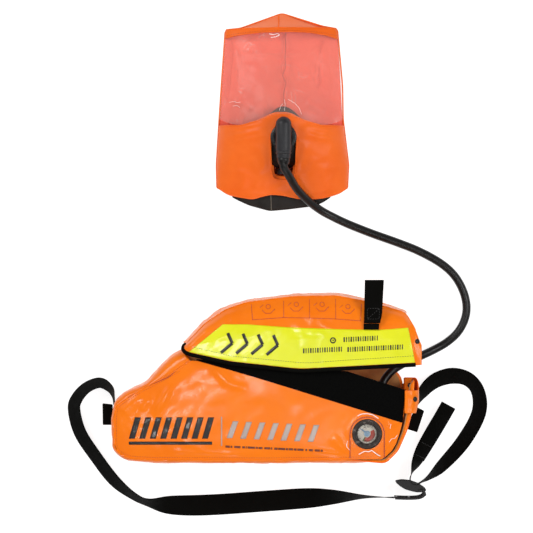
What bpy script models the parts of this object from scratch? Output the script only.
"""Escape smoke hood: hood with visor, supply hose, carry bag with its air supply, and shoulder strap.

The set lies flat on a table. +Z points up from the table, +Y from the bag to the hood, and +X to the
bag's gauge end. The origin is on the flat back of the bag. Dimensions below are in millimetres, and
MM turns them to metres.
"""
import math

import bmesh
import bpy
from mathutils import Matrix, Vector

MM = 0.001
GAP = 0.3                    # clearance kept between neighbouring solids

# Carry bag
BAG_BACK = 2.0               # back panel thickness
LINING = 1.0
BAG_WALL = 1.5
BAG_DEPTH = 130.0            # table to the bag's front face
BAG_SIDE = [(-151, 91), (-169, 82), (-190, 62), (-214, 34), (-250, 17), (-270, 1), (-277, -30),
            (-275, -85), (-261, -101), (-242, -108), (-206, -110), (0, -112), (214, -109),
            (235, -88), (251, -52), (259, -23), (263, 2), (265, 38)]
BAG_SEAM = [(-135, 73), (-152, 60), (-172, 48), (-212, 27), (-246, 8), (-268, -8), (-271, -30),
            (-270, -83), (-258, -96), (-240, -102), (-206, -104), (0, -105), (208, -103),
            (228, -84), (240, -52), (246, -22), (248, 0), (249, 18)]
BAG_BACK_INSET = 8.0         # the back panel is smaller than the bulging sides
MOUTH_FRONT = [(144, 52), (-78, 70)]
MOUTH_BACK = [(262, 66), (-146, 86)]
HOOK_TAPE = [(-78, 69.5), (20, 36), (243, -38), (247.5, -37), (247.5, 18.5), (144, 51.5)]
TAPE = 1.2
CUFF = [(252, 128.5), (262, 118), (271, 98)]
CUFF_SPAN = (-21, 39)
CUFF_STUDS = (("cuff_stud_upper", 24), ("cuff_stud_lower", 6))
CUFF_STUD_AT = (259.0, 123.5)
CUFF_STUD_AXIS = (0.72, 0.0, 0.69)
STUD_R = 4.5
BAG_BULGE = (0.3, 0.72)      # heights of the gusset's two fullest rows, as shares of the depth
WINDOW_FOOT = [(150, -99), (210, -99)]
WINDOW_R = 30.0
WINDOW_LAP = 3.0
FILM = 0.6
END_LOOP_LEFT = [(-294, -45), (-278, -45), (-278, -8), (-294, -6)]
END_LOOP_RIGHT = [(272, -58), (285, -19), (264, -10), (253.2, -52)]
END_LOOP_Z = (55.0, 58.5)

# Lid, a jaw-like cap that swings on the bag's left corner
LID_PIVOT = (-149.0, 94.5)
LID_Z = 133.6
LID_WALL = 1.5
LID_LOWER = [(-142, 90), (63, 58), (276, 66)]
LID_UPPER = [(-142, 101), (-108, 140), (-73, 163), (-37, 176), (48, 187), (127, 188), (175, 179),
             (205, 171), (251, 158), (268, 125), (276, 97)]
LID_DROP = [(0.0, 0.0), (0.55, 0.0), (0.75, 3.0), (0.9, 10.0), (1.0, 22.0)]
LID_GUSSET = [(-144, 99), (-108, 139), (-73, 162), (-37, 175), (48, 186), (127, 187), (175, 177),
              (205, 169), (250, 157)]
LID_BACK_LOW = [(-140, 97), (60, 92), (238, 94), (238, 148)]
LID_BACK_INSET = 8.0
LID_GUSSET_ROWS = [(0.35, 0), (0.7, 0), (1.0, 3)]   # share of the height, inset
LID_BINDING = [(-134, 85), (63, 57.6), (270, 62), (270, 68), (63, 64), (-134, 91)]
LID_TAPE = [(-112, 91), (63, 66), (262, 72), (262, 96), (63, 104), (-92, 106)]
LID_STUD_AT = (266, 104)
BINDING_T = 1.6
STRIP_TOP = [(-128, 97), (-75, 137), (90, 136), (253, 133)]
STRIP_LOW = [(266, 71), (63, 65), (-128, 91)]
PULL_TAB_X = (174, 205)
PULL_TAB_Y = (140, 215)
PULL_TAB_T = 3.0

# Air supply in the bag
AXIS_Y = -49.0
AXIS_Z = 64.0
CYL_R = 55.0
CYL_X = -230.0
CYL_SHAPE = [(0, 0), (20, 1), (40, 8), (51, 22), (CYL_R, 45), (CYL_R, 292), (49, 320), (34, 338),
             (18, 346), (14, 350), (14, 360), (0, 360)]
VALVE_X = (130.3, 165.7)
VALVE_HALF = 17.0
REDUCER_X = 166.0
REDUCER_R = 20.0
REDUCER_BORE = 12.0
REDUCER_LENGTH = 48.0
REDUCER_FLOOR = 14.0         # depth of metal behind the piston
SPRING_R = 8.0
SPRING_WIRE = 0.9
SPRING_COILS = 5
COIL_STEPS = 12
FOOT_RING = (46, 36, 2)      # start along the cylinder, length, thickness
BAND_X = -20.0
GAUGE_AT = (180.0, -58.0)
GAUGE_BOOT_R = 27.0
GAUGE_CASE_R = 24.0
DIAL_R = 21.5
NEEDLE_HUB_R = 5.5
NEEDLE_TIP = (-14.1, 10.5)
PIN_X = 148.0
PIN_R = 1.9
PIN_DEPTH = 12.0

# Hood
HOOD_CLOTH = 1.2
HOOD_SIDES = [(362, -84, 143), (384, -89, 148), (425, -90, 150), (508, -85, 140), (569, -81, 139),
              (668, -74, 130), (700, -60, 116)]
HOOD_HEM = [(-1, 384), (-0.82, 367), (-0.45, 362), (-0.15, 370), (0.3, 362), (0.8, 364), (1, 383)]
VISOR_EDGE = [(-1, 507), (-0.65, 495), (0, 519), (0.65, 495), (1, 507)]
CROWN_EDGE = [(-1, 667), (1, 670)]
HOOD_PEAK = [(-1, 669), (-0.72, 673), (0, 700), (0.72, 675), (1, 672)]
HOOD_RISE = [(362, 30), (400, 44), (450, 62), (480, 68), (520, 66), (560, 56), (620, 42), (668, 30),
             (700, 4)]
HOOD_EDGE = 3.4              # height of the welded side seams
HOOD_COLUMNS = 7             # columns of each half of a hood panel
NECK_RINGS = [(388, 0, 88, 10), (366, 0, 88, 10), (352, 12, 86, 9.5), (343, 20, 66, 7)]
NECK_AT = (30.0, 13.0)
ROUND_STEPS = 24
MASK_AT = (31.5, 470.0)
MASK_RINGS = [(10, 45, 52), (30, 45, 52), (43, 37, 43), (54, 26, 30), (58, 20, 22)]
PORT_AT = (31.5, 473.0)
FLANGE_R = 23.5
ELBOW_R = 14.0
ELBOW_Y = (509.0, 434.5)
ELBOW_Z = 87.6
SLOT_TOP = (31.5, 500.0, 12.0)
SLOT_BOTTOM = (31.5, 419.5, 22.5)
EXHALE_Y = 417.6
EXHALE_Z = 26.0

# Supply hose, from the reducer to the elbow
HOSE_D = 15.0
HOSE_ROUTE = [(209, 5.3, 64), (209, 12, 64), (209.4, 21, 64), (213, 36, 62), (228, 53, 55),
              (250, 66, 42), (277, 77, 25), (306, 90, 12), (330, 104, 7.8), (349, 122, 7.8),
              (361, 145, 7.8), (364, 170, 7.8), (357, 198, 7.8), (341, 225, 7.8), (316, 247, 7.8),
              (278, 268, 7.8), (238, 284, 7.8), (193, 300, 7.8), (150, 317, 7.8), (122, 330, 10),
              (98, 343, 18), (74, 361, 36), (55, 381, 58), (40, 405, 79), (32.2, 418, 86.6),
              (31.5, 426, 87.6), (31.5, 433.9, 87.6)]

# Shoulder strap: x, y, lean of the webbing (0 lies flat, 90 stands on edge), lift of its low edge
WEB = 38.0
WEB_T = 1.5
LONG_STRAP = [(-274.8, -10, 89, 0), (-276.5, 4, 86, 0), (-283, 19, 72, 0), (-301, 29.5, 62, 0),
              (-325, 21, 58, 0), (-343, 1, 53, 0), (-348, -20, 50, 0), (-337, -61, 49, 0),
              (-309, -104, 50, 0), (-275, -148, 52, 0), (-240, -176, 64, 0), (-212, -188, 62, 0),
              (-169, -193, 20, 0), (-103, -193, 0, 0), (0, -186, 0, 0), (68, -181, 10, 0), (120, -178, 40, 0),
              (175, -177, 75, 0), (232, -178, 90, 4)]
SHORT_STRAP = [(268, -18, 84, 0), (275, -5, 74, 0), (283, 10, 56, 0), (296, 25, 46, 0),
               (313, 36, 40, 0), (338, 42, 38, 0), (364, 37, 46, 0), (382, 19, 52, 0),
               (388, -10, 50, 0), (380, -40, 50, 0),
               (354, -82, 50, 0), (318, -122, 60, 0), (296, -141, 80, 4), (282, -149.5, 90, 4),
               (274, -153.5, 90, 4), (266, -153, 90, 4), (261, -146, 90, 4), (264, -134, 84, 4),
               (272, -116, 60, 2), (284, -92, 45, 0), (302, -61, 40, 0), (318, -34, 40, 0),
               (331, -11, 40, 0)]

# Strap adjuster, standing on edge where the webbing does
ADJUST_FROM = (233.5, -177.5)
ADJUST_TO = (289.0, -170.0)
ADJUST_T = 4.0
ADJUST_Z = (0.3, 46.0)
ADJUST_SLOTS = ((0.12, 0.36), (0.5, 0.86))   # shares of the frame's length
ADJUST_RIM = 4.0
LEVER_FROM = (235.0, -150.5)
LEVER_PIVOT = (288.0, -163.5)
LEVER_T = 3.0
LEVER_Z = (4.0, 42.0)

FINISHES = {
    "orange_coated_fabric": ("EE7414", 0.32, 0.0),
    "hood_fabric": ("EE6E2D", 0.42, 0.0),
    "visor_film": ("EC7A69", 0.12, 0.0),
    "neck_rubber": ("1C1815", 0.6, 0.0),
    "moulded_black": ("141312", 0.38, 0.0),
    "hose_rubber": ("121110", 0.42, 0.0),
    "black_webbing": ("0F0D0A", 0.8, 0.0),
    "hook_tape": ("0C0B0A", 0.9, 0.0),
    "tan_lining": ("96602A", 0.6, 0.0),
    "reflective_strip": ("DADE0A", 0.35, 0.0),
    "clear_window": ("E8D8CE", 0.08, 0.0),
    "nickel": ("B9B9B6", 0.25, 1.0),
    "brass": ("B08D45", 0.32, 1.0),
    "cylinder_paint": ("E9E7DF", 0.35, 0.0),
    "steel": ("9A9C9E", 0.3, 1.0),
    "dial_face": ("F1EFE6", 0.5, 0.0),
    "needle_paint": ("1F56A8", 0.4, 0.0),
    "silicone": ("C9B9A4", 0.5, 0.0),
}


def linear(code):
    """Linear RGBA from an sRGB hex colour."""
    values = [int(code[i:i + 2], 16) / 255 for i in (0, 2, 4)]
    return [v / 12.92 if v <= 0.04045 else ((v + 0.055) / 1.055) ** 2.4 for v in values] + [1.0]


def material(name, finish):
    """Principled material of one piece."""
    colour, roughness, metallic = FINISHES[finish]
    made = bpy.data.materials.new(name + "_finish")
    made.use_nodes = True
    shader = made.node_tree.nodes["Principled BSDF"]
    shader.inputs["Base Color"].default_value = linear(colour)
    shader.inputs["Roughness"].default_value = roughness
    shader.inputs["Metallic"].default_value = metallic
    return made


def clear_scene():
    """Remove every object of the start-up file."""
    for old in list(bpy.data.objects):
        bpy.data.objects.remove(old, do_unlink=True)


def place(name, data, finish, pivot=None, parent=None):
    """Object from data given in world metres, with its origin moved to the pivot."""
    obj = bpy.data.objects.new(name, data)
    bpy.context.scene.collection.objects.link(obj)
    origin = Vector(pivot) * MM if pivot else Vector((0, 0, 0))
    if pivot:
        data.transform(Matrix.Translation(-origin))
    obj.location = origin
    if parent:
        obj.parent = parent
        obj.matrix_parent_inverse = Matrix.Translation(-parent.location)
    data.materials.append(material(name, finish))
    return obj


def from_bmesh(name, bm, finish, smooth=False, **where):
    """Object from a bmesh, faces turned outward."""
    bmesh.ops.recalc_face_normals(bm, faces=bm.faces)
    mesh = bpy.data.meshes.new(name)
    bm.to_mesh(mesh)
    bm.free()
    if smooth:
        mesh.shade_smooth()
        mesh.set_sharp_from_angle(angle=math.radians(40))
    return place(name, mesh, finish, **where)


def plate(name, outline, low, high, finish, **where):
    """Flat plate between two heights, cut to an outline of (x, y)."""
    bm = bmesh.new()
    face = bm.faces.new([bm.verts.new(Vector((x, y, low)) * MM) for x, y in outline])
    grown = bmesh.ops.extrude_face_region(bm, geom=[face])["geom"]
    raised = [part for part in grown if isinstance(part, bmesh.types.BMVert)]
    bmesh.ops.translate(bm, verts=raised, vec=(0, 0, (high - low) * MM))
    return from_bmesh(name, bm, finish, **where)


def sheet(name, rows, thickness, finish, closed=False, **where):
    """Cloth or film: a grid of points thickened on its inner side."""
    bm = bmesh.new()
    grid = [[bm.verts.new(Vector(point) * MM) for point in row] for row in rows]
    across = len(grid[0]) if closed else len(grid[0]) - 1
    for first, second in zip(grid, grid[1:]):
        for i in range(across):
            j = (i + 1) % len(first)
            bm.faces.new((first[i], first[j], second[j], second[i]))
    mesh = bpy.data.meshes.new(name)
    bm.to_mesh(mesh)
    bm.free()
    mesh.shade_smooth()
    obj = place(name, mesh, finish, **where)
    solid = obj.modifiers.new("thickness", "SOLIDIFY")
    solid.thickness = thickness * MM
    solid.offset = -1
    return obj


def turned(name, profile, at, axis, finish, ring=False, steps=ROUND_STEPS, **where):
    """Turned piece: profile of (radius, distance along the axis), closed on itself for a ring."""
    bm = bmesh.new()
    points = [bm.verts.new(Vector((radius, 0, along)) * MM) for radius, along in profile]
    edges = [bm.edges.new(pair) for pair in zip(points, points[1:])]
    if ring:
        edges.append(bm.edges.new((points[-1], points[0])))
    bmesh.ops.spin(bm, geom=points + edges, cent=(0, 0, 0), axis=(0, 0, 1), angle=2 * math.pi,
                   steps=steps, use_merge=True)
    bmesh.ops.remove_doubles(bm, verts=bm.verts, dist=1e-6)
    turn = Vector((0, 0, 1)).rotation_difference(Vector(axis)).to_matrix().to_4x4()
    bmesh.ops.transform(bm, matrix=Matrix.Translation(Vector(at) * MM) @ turn, verts=bm.verts)
    return from_bmesh(name, bm, finish, smooth=True, **where)


def block(name, low, high, finish, bevel=0.0, **where):
    """Rectangular block between two corners, its edges bevelled."""
    bm = bmesh.new()
    bmesh.ops.create_cube(bm, size=1.0)
    size = Vector(high) - Vector(low)
    middle = (Vector(high) + Vector(low)) / 2
    bmesh.ops.scale(bm, vec=size * MM, verts=bm.verts)
    bmesh.ops.translate(bm, vec=middle * MM, verts=bm.verts)
    if bevel:
        bmesh.ops.bevel(bm, geom=bm.edges[:], offset=bevel * MM, segments=1, affect="EDGES")
    return from_bmesh(name, bm, finish, **where)


def cut(obj, cutter):
    """Boolean cut; the cutter stays as a hidden guide."""
    cutter.hide_render = True
    cutter.display_type = "WIRE"
    boolean = obj.modifiers.new("opening", "BOOLEAN")
    boolean.operation = "DIFFERENCE"
    boolean.solver = "EXACT"
    boolean.object = cutter


def arc(centre, radius, start, end, count):
    """Points of an arc in degrees, both ends included."""
    angles = [math.radians(start + (end - start) * i / (count - 1)) for i in range(count)]
    return [(centre[0] + radius * math.cos(a), centre[1] + radius * math.sin(a)) for a in angles]


def at(table, x):
    """Straight-line reading of a table of (x, y)."""
    for (x0, y0), (x1, y1) in zip(table, table[1:]):
        if x <= x1:
            return y0 + (y1 - y0) * (x - x0) / (x1 - x0)
    return table[-1][1]


def smooth_route(points, parts):
    """Catmull-Rom curve through the points, in parts steps for each span."""
    rows = [Vector(point) for point in points]
    rows = [2 * rows[0] - rows[1]] + rows + [2 * rows[-1] - rows[-2]]
    route = []
    for a, b, c, d in zip(rows, rows[1:], rows[2:], rows[3:]):
        for step in range(parts):
            t = step / parts
            bend = (2 * a - 5 * b + 4 * c - d) * t * t + (3 * b - a - 3 * c + d) * t ** 3
            route.append((2 * b + (c - a) * t + bend) / 2)
    return route + [rows[-2]]


def ribbon(name, route, finish, parts=2):
    """Webbing that follows a route of (x, y, lean, lift) with its low edge on the table."""
    points = smooth_route(route, parts)
    bm = bmesh.new()
    rings = []
    for i, (x, y, lean, lift) in enumerate(points):
        before = points[max(i - 1, 0)]
        after = points[min(i + 1, len(points) - 1)]
        along = Vector((after[0] - before[0], after[1] - before[1], 0)).normalized()
        side = Vector((-along.y, along.x, 0))
        lean = math.radians(max(lean, 0))
        wide = (side * math.cos(lean) + Vector((0, 0, math.sin(lean)))) * WEB / 2
        thin = along.cross(wide).normalized() * WEB_T / 2
        height = lift + GAP + WEB / 2 * math.sin(lean) + WEB_T / 2 * math.cos(lean)
        centre = Vector((x, y, height))
        corners = (wide + thin, thin - wide, -wide - thin, wide - thin)
        rings.append([bm.verts.new((centre + corner) * MM) for corner in corners])
    for first, second in zip(rings, rings[1:]):
        for i in range(4):
            j = (i + 1) % 4
            bm.faces.new((first[i], first[j], second[j], second[i]))
    bm.faces.new(rings[0])
    bm.faces.new(rings[-1])
    bmesh.ops.triangulate(bm, faces=bm.faces[:])
    return from_bmesh(name, bm, finish)


def tube(name, route, radius, finish, parts, sides=2):
    """Round hose or wire on a smooth route."""
    curve = bpy.data.curves.new(name, "CURVE")
    curve.dimensions = "3D"
    curve.bevel_depth = radius * MM
    curve.bevel_resolution = sides
    curve.use_fill_caps = True
    points = smooth_route(route, parts) if parts > 1 else [Vector(point) for point in route]
    spline = curve.splines.new("POLY")
    spline.points.add(len(points) - 1)
    for target, point in zip(spline.points, points):
        target.co = (*(point * MM), 1)
    return place(name, curve, finish)


def inset(outline, distance):
    """Closed outline moved inward, corner by corner; the outline runs anticlockwise."""
    moved = []
    for i, point in enumerate(outline):
        before = Vector(outline[i - 1])
        after = Vector(outline[(i + 1) % len(outline)])
        along = (after - before).normalized()
        moved.append((point[0] - along.y * distance, point[1] + along.x * distance))
    return moved


def board(name, start, end, thickness, height, finish, **where):
    """Upright board between two points on the table."""
    along = (Vector(end) - Vector(start)).normalized()
    side = Vector((-along.y, along.x)) * thickness / 2
    corners = [Vector(start) - side, Vector(end) - side, Vector(end) + side, Vector(start) + side]
    return plate(name, [tuple(corner) for corner in corners], *height, finish, **where)


def bag():
    """Back, sides, front, lining, tape, cuff, window and end loops of the carry bag."""
    whole = BAG_SIDE + MOUTH_BACK
    back = inset(whole, BAG_BACK_INSET)
    plate("bag_back_panel", back, 0, BAG_BACK, "orange_coated_fabric")
    lining_low = BAG_BACK + GAP
    plate("bag_lining", inset(back, 3), lining_low, lining_low + LINING, "tan_lining")
    count = len(BAG_SIDE)
    low = [(x, y, BAG_BACK + GAP) for x, y in inset(whole, BAG_BACK_INSET - 2)[:count]]
    waist, chest = [[(x, y, share * BAG_DEPTH) for x, y in BAG_SIDE] for share in BAG_BULGE]
    top = [(x, y, BAG_DEPTH - BAG_BACK - GAP) for x, y in BAG_SEAM]
    sheet("bag_gusset", [low, waist, chest, top], BAG_WALL, "orange_coated_fabric")
    front = plate("bag_front_panel", BAG_SEAM + MOUTH_FRONT, BAG_DEPTH - BAG_BACK, BAG_DEPTH,
                  "orange_coated_fabric")
    window_shape = WINDOW_FOOT + arc(GAUGE_AT, WINDOW_R, 0, 180, 13)
    hole = plate("window_cutter", inset(window_shape, WINDOW_LAP), BAG_DEPTH - 20, BAG_DEPTH + 20,
                 "clear_window")
    cut(front, hole)
    tape_low = BAG_DEPTH + GAP
    plate("gauge_window", window_shape, tape_low, tape_low + FILM, "clear_window")
    plate("front_hook_tape", HOOK_TAPE, tape_low, tape_low + TAPE, "hook_tape")
    y0, y1 = CUFF_SPAN
    rows = [[(x, y, z) for x, z in reversed(CUFF)] for y in (y1, (y0 + y1) / 2, y0)]
    sheet("mouth_cuff", rows, BAG_WALL, "orange_coated_fabric")
    stud = [(0, 0), (STUD_R, 0), (STUD_R, 1), (2.5, 2.2), (0, 2.2)]
    for name, y in CUFF_STUDS:
        turned(name, stud, (CUFF_STUD_AT[0], y, CUFF_STUD_AT[1]), CUFF_STUD_AXIS,
               "moulded_black", steps=12)
    plate("end_loop_left", END_LOOP_LEFT, *END_LOOP_Z, "black_webbing")
    plate("end_loop_right", END_LOOP_RIGHT, *END_LOOP_Z, "black_webbing")


def lid():
    """Jaw-like lid with its strip, tapes, binding, stud and pull tab."""
    pivot = bpy.data.objects.new("lid_pivot", None)
    bpy.context.scene.collection.objects.link(pivot)
    pivot.location = Vector((*LID_PIVOT, 0)) * MM
    columns = [x for x, _ in LID_UPPER]
    rows = []
    for share, drop in LID_DROP:
        row = []
        for x in columns:
            low = at(LID_LOWER, x)
            row.append((x, low + (at(LID_UPPER, x) - low) * share, LID_Z + LID_WALL - drop))
        rows.append(row)
    sheet("lid_front_panel", rows, LID_WALL, "orange_coated_fabric", parent=pivot)
    edge = LID_Z - LID_DROP[-1][1] - LID_WALL
    back_low = BAG_BACK + LINING + 2 * GAP
    foot = back_low + LID_WALL + GAP
    rows = [[(x, y - LID_BACK_INSET + 2, foot) for x, y in LID_GUSSET]]
    for share, back in LID_GUSSET_ROWS:
        rows.append([(x, y - back, share * edge) for x, y in LID_GUSSET])
    sheet("lid_gusset", rows[::-1], LID_WALL, "orange_coated_fabric", parent=pivot)
    outline = LID_BACK_LOW + [(x, y - LID_BACK_INSET) for x, y in reversed(LID_GUSSET[1:-1])]
    plate("lid_back_panel", outline, back_low, back_low + LID_WALL, "orange_coated_fabric",
          parent=pivot)
    strip_low = LID_Z + LID_WALL + GAP
    plate("lid_reflective_strip", STRIP_LOW + STRIP_TOP, strip_low, strip_low + FILM,
          "reflective_strip", parent=pivot)
    plate("lid_binding", LID_BINDING, strip_low, strip_low + BINDING_T, "black_webbing",
          parent=pivot)
    plate("lid_loop_tape", LID_TAPE, LID_Z - GAP - TAPE, LID_Z - GAP, "hook_tape", parent=pivot)
    stud = [(0, 0), (5, 0), (5, 1.2), (3, 2.4), (0, 2.4)]
    turned("lid_stud", stud, (*LID_STUD_AT, strip_low), (0, 0, 1), "moulded_black", steps=12,
           parent=pivot)
    x0, x1 = PULL_TAB_X
    y0, y1 = PULL_TAB_Y
    shape = [(x0 + 2, y0), (x1, y0), (x1 + 1, y1), (x0, y1)]
    tab_low = strip_low + FILM + GAP
    plate("pull_tab", shape, tab_low, tab_low + PULL_TAB_T, "black_webbing",
          pivot=(x0, y0, tab_low + PULL_TAB_T / 2), parent=pivot)


def air_supply():
    """Cylinder, valve, pressure reducer and gauge, in line inside the bag."""
    along = (1, 0, 0)
    turned("air_cylinder", CYL_SHAPE, (CYL_X, AXIS_Y, AXIS_Z), along, "cylinder_paint")
    inner = CYL_R + GAP
    start, length, thickness = FOOT_RING
    foot = [(inner, 0), (inner + thickness, 0), (inner + thickness, length), (inner, length)]
    turned("cylinder_foot_ring", foot, (CYL_X + start, AXIS_Y, AXIS_Z), along, "neck_rubber",
           ring=True)
    band = [(inner, 0), (inner + WEB_T, 0), (inner + WEB_T, WEB), (inner, WEB)]
    turned("cylinder_band", band, (BAND_X, AXIS_Y, AXIS_Z), along, "black_webbing", ring=True)
    half = VALVE_HALF
    valve = block("cylinder_valve_body", (VALVE_X[0], AXIS_Y - half, AXIS_Z - half),
                  (VALVE_X[1], AXIS_Y + half, AXIS_Z + half), "nickel", bevel=2)
    face = AXIS_Y + half
    bore = turned("pin_cutter", [(0, 0), (PIN_R + GAP, 0), (PIN_R + GAP, 30), (0, 30)],
                  (PIN_X, face - PIN_DEPTH, AXIS_Z), (0, 1, 0), "steel", steps=12)
    cut(valve, bore)
    pin = [(0, 0), (PIN_R, 0), (PIN_R, 15), (6, 15), (6, 18), (0, 18)]
    turned("activation_pin", pin, (PIN_X, face - PIN_DEPTH + 1, AXIS_Z), (0, 1, 0), "steel",
           steps=12, pivot=(PIN_X, face, AXIS_Z))
    port = [(0, 0), (6, 0), (6, 3), (8, 3), (8, 12), (0, 12)]
    turned("charging_cap", port, (PIN_X, AXIS_Y - half - GAP, AXIS_Z), (0, -1, 0),
           "moulded_black", steps=16)
    body = [(0, 0), (18, 0), (REDUCER_R, 2), (REDUCER_R, REDUCER_LENGTH),
            (REDUCER_BORE, REDUCER_LENGTH), (REDUCER_BORE, REDUCER_FLOOR), (0, REDUCER_FLOOR)]
    turned("reducer_body", body, (REDUCER_X, AXIS_Y, AXIS_Z), along, "nickel")
    cap = [(0, 0), (REDUCER_R, 0), (REDUCER_R, 7), (17, 10), (0, 10)]
    turned("reducer_cap", cap, (REDUCER_X + REDUCER_LENGTH + GAP, AXIS_Y, AXIS_Z), along,
           "nickel")
    piston_x = REDUCER_X + REDUCER_FLOOR + GAP
    head = 6
    piston = [(0, 0), (REDUCER_BORE - 0.4, 0), (REDUCER_BORE - 0.4, head), (4, head), (4, 12),
              (0, 12)]
    turned("reducer_piston", piston, (piston_x, AXIS_Y, AXIS_Z), along, "brass",
           pivot=(piston_x, AXIS_Y, AXIS_Z), steps=16)
    seat = SPRING_WIRE + 0.4
    first = piston_x + head + seat
    pitch = (REDUCER_X + REDUCER_LENGTH - seat - first) / SPRING_COILS
    helix = []
    for i in range(SPRING_COILS * COIL_STEPS + 1):
        angle = 2 * math.pi * i / COIL_STEPS
        helix.append((first + pitch * i / COIL_STEPS, AXIS_Y + SPRING_R * math.cos(angle),
                      AXIS_Z + SPRING_R * math.sin(angle)))
    tube("reducer_spring", helix, SPRING_WIRE, "steel", 1, sides=1)
    relief = [(0, 0), (5, 0), (5, 9), (3.5, 12), (0, 12)]
    turned("relief_valve", relief, (REDUCER_X + 30, AXIS_Y - REDUCER_R - GAP, AXIS_Z), (0, -1, 0),
           "brass", steps=12)
    fitting = [(0, 0), (7, 0), (7, 6), (10, 6), (10, 20), (8, 24), (8, 33.6), (0, 33.6)]
    start = AXIS_Y + REDUCER_R + GAP
    turned("hose_end_fitting", fitting, (HOSE_ROUTE[0][0], start, AXIS_Z), (0, 1, 0), "nickel",
           steps=16)


def gauge():
    """Contents gauge under the bag's window."""
    centre = (*GAUGE_AT, 0)
    up = (0, 0, 1)
    case = [(0, 84), (5, 84), (5, 96), (GAUGE_CASE_R, 96), (GAUGE_CASE_R, 122),
            (GAUGE_CASE_R - 2, 122), (GAUGE_CASE_R - 2, 100), (0, 100)]
    turned("gauge_case", case, centre, up, "nickel")
    inner = GAUGE_CASE_R + GAP
    boot = [(inner, 95.5), (GAUGE_BOOT_R, 96), (GAUGE_BOOT_R, 122), (25, 125), (17.5, 125),
            (17.5, 122 + GAP), (inner, 122 + GAP)]
    turned("gauge_boot", boot, centre, up, "neck_rubber", ring=True)
    turned("gauge_dial", [(0, 112), (DIAL_R, 112), (DIAL_R, 113), (0, 113)], centre, up,
           "dial_face")
    hub = arc(GAUGE_AT, NEEDLE_HUB_R, 160, 470, 14)
    tip = (GAUGE_AT[0] + NEEDLE_TIP[0], GAUGE_AT[1] + NEEDLE_TIP[1])
    plate("gauge_needle", hub + [tip], 114, 114.8, "needle_paint", pivot=(*GAUGE_AT, 114))
    turned("gauge_lens", [(0, 118), (DIAL_R, 118), (DIAL_R, 120), (0, 120)], centre, up,
           "clear_window")


def hood_point(u, y, drop=0.0):
    """Point of the hood's front: u runs from -1 at its left seam to 1 at its right seam."""
    left = at([(row[0], row[1]) for row in HOOD_SIDES], y)
    right = at([(row[0], row[2]) for row in HOOD_SIDES], y)
    rise = max(at(HOOD_RISE, y) - HOOD_EDGE, 0)
    arch = max(1 - u * u, 0) ** 0.6
    return (left + (right - left) * (u + 1) / 2, y, HOOD_EDGE + rise * arch - drop)


def hood_panel(name, low, high, rows, finish):
    """Front panel of the hood between two edge tables of (u, y)."""
    half = HOOD_COLUMNS
    columns = [math.sin(math.pi / 2 * i / half) for i in range(-half, half + 1)]
    grid = []
    for step in range(rows + 1):
        share = step / rows
        grid.append([hood_point(u, at(low, u) * (1 - share) + at(high, u) * share)
                     for u in columns])
    return sheet(name, grid, HOOD_CLOTH, finish)


def hood():
    """Hood panels, crown and neck seal."""
    split = GAP + 0.2
    visor_low = [(u, y + split) for u, y in VISOR_EDGE]
    visor_high = [(u, y - split) for u, y in CROWN_EDGE]
    lower = hood_panel("hood_lower_panel", HOOD_HEM, VISOR_EDGE, 7, "hood_fabric")
    hood_panel("hood_visor", visor_low, visor_high, 7, "visor_film")
    crown = [[hood_point(u, y) for u, y in row] for row in crown_rows()]
    sheet("hood_crown", crown, HOOD_CLOTH, "hood_fabric")
    slot = arc(SLOT_TOP, SLOT_TOP[2], 0, 180, 9) + arc(SLOT_BOTTOM, SLOT_BOTTOM[2], 180, 360, 11)
    cut(lower, plate("slot_cutter", slot, 30, 90, "hood_fabric"))
    sides = [(left, y) for y, left, _ in HOOD_SIDES[:6]]
    other = [(right, y) for y, _, right in reversed(HOOD_SIDES[:6])]
    outline = sides[::-1] + other[::-1] + [(103, 674), (28, 700), (-46, 673)]
    plate("hood_back_panel", inset(outline, 1), 0, HOOD_CLOTH + 0.3, "hood_fabric")
    grid = []
    for y, bow, wide, tall in NECK_RINGS:
        ring = []
        for i in range(ROUND_STEPS):
            angle = 2 * math.pi * i / ROUND_STEPS
            ring.append((NECK_AT[0] + wide * math.cos(angle), y + bow * math.cos(angle) ** 2,
                         NECK_AT[1] + tall * math.sin(angle)))
        grid.append(ring)
    sheet("neck_seal", grid, HOOD_CLOTH, "neck_rubber", closed=True)


def crown_rows():
    """Edge tables of the crown, from the visor's top to the gable."""
    low = [(u, at(CROWN_EDGE, u) + GAP) for u, _ in HOOD_PEAK]
    middle = [(u, (y + at(HOOD_PEAK, u)) / 2) for u, y in low]
    return [low, middle, HOOD_PEAK]


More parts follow.
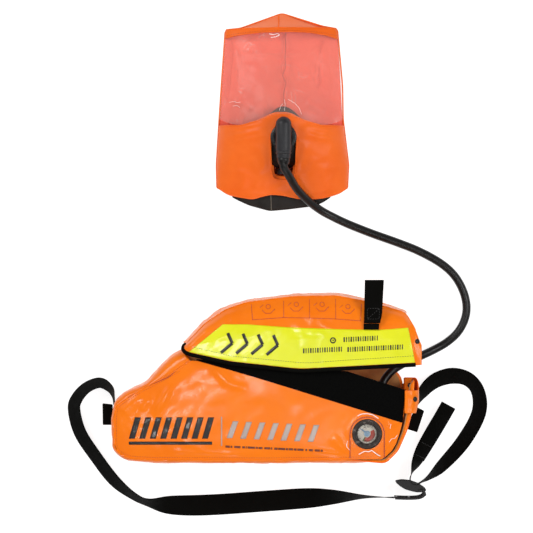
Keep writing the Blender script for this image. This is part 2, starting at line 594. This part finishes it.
def mask():
    """Inner mask with its breathing valves, port, flange, elbow and hose boot."""
    grid = []
    for height, wide, tall in MASK_RINGS:
        ring = []
        for i in range(ROUND_STEPS):
            angle = 2 * math.pi * i / ROUND_STEPS
            ring.append((MASK_AT[0] + wide * math.cos(angle), MASK_AT[1] + tall * math.sin(angle),
                         height))
        grid.append(ring)
    sheet("inner_mask", grid, 2.0, "neck_rubber", closed=True)
    up = (0, 0, 1)
    port_at = (*PORT_AT, 0)
    port = [(8, 45), (19, 45), (19, 48), (14.5, 48), (14.5, 71), (11, 71), (11, 51.5), (8, 51.5)]
    turned("mask_port", port, port_at, up, "moulded_black", ring=True)
    turned("inhalation_disc", [(0, 52), (10.4, 52), (10.4, 53), (0, 53)], port_at, up, "silicone",
           pivot=(*PORT_AT, 52), steps=16)
    flange = [(15, 69.5), (FLANGE_R, 69.5), (FLANGE_R, 72), (21, 73), (15, 73)]
    turned("elbow_flange", flange, port_at, up, "moulded_black", ring=True)
    length = ELBOW_Y[0] - ELBOW_Y[1]
    shape = [(0, 0)]
    for i in range(1, 5):
        angle = math.pi / 2 * i / 4
        shape.append((ELBOW_R * math.sin(angle), ELBOW_R * (1 - math.cos(angle))))
    shape += [(ELBOW_R, length - 12), (ELBOW_R - 1.5, length - 11), (ELBOW_R - 1.5, length),
              (0, length)]
    turned("elbow", shape, (PORT_AT[0], ELBOW_Y[0], ELBOW_Z), (0, -1, 0), "moulded_black")
    down = (0, -1, 0)
    bore = HOSE_D / 2 + GAP
    boot = [(bore, 0), (11.5, 0), (11.5, 4), (9.5, 11), (bore, 11)]
    turned("hose_boot", boot, (PORT_AT[0], ELBOW_Y[1] - GAP, ELBOW_Z), down, "neck_rubber",
           ring=True, steps=16)
    seat = [(9, 0), (14, 0), (14, 4), (9, 4)]
    turned("exhalation_seat", seat, (PORT_AT[0], EXHALE_Y, EXHALE_Z), down, "moulded_black",
           ring=True, steps=16)
    turned("exhalation_disc", [(0, 0), (12, 0), (12, 1), (0, 1)],
           (PORT_AT[0], EXHALE_Y - 4.5, EXHALE_Z), down, "silicone",
           pivot=(PORT_AT[0], EXHALE_Y - 4.5, EXHALE_Z), steps=16)
    cover = [(0, 10), (15, 10), (15, 4.4), (13.5, 4.4), (13.5, 8.5), (0, 8.5)]
    turned("exhalation_cover", cover, (PORT_AT[0], EXHALE_Y, EXHALE_Z), down, "moulded_black",
           steps=16)


def strap():
    """Two runs of webbing and the adjuster between them."""
    ribbon("long_strap", LONG_STRAP, "black_webbing")
    ribbon("short_strap", SHORT_STRAP, "black_webbing")
    frame = board("adjuster_frame", ADJUST_FROM, ADJUST_TO, ADJUST_T, ADJUST_Z, "moulded_black")
    start = Vector(ADJUST_FROM)
    along = Vector(ADJUST_TO) - start
    for i, (first, last) in enumerate(ADJUST_SLOTS):
        cutter = board(f"adjuster_cutter_{i}", start + along * first, start + along * last,
                       4 * ADJUST_T, (ADJUST_Z[0] + ADJUST_RIM, ADJUST_Z[1] - ADJUST_RIM),
                       "moulded_black")
        cut(frame, cutter)
    board("adjuster_lever", LEVER_FROM, LEVER_PIVOT, LEVER_T, LEVER_Z, "moulded_black",
          pivot=(*LEVER_PIVOT, 0))


def main():
    clear_scene()
    bag()
    lid()
    air_supply()
    gauge()
    hood()
    mask()
    tube("supply_hose", HOSE_ROUTE, HOSE_D / 2, "hose_rubber", 3)
    strap()


main()
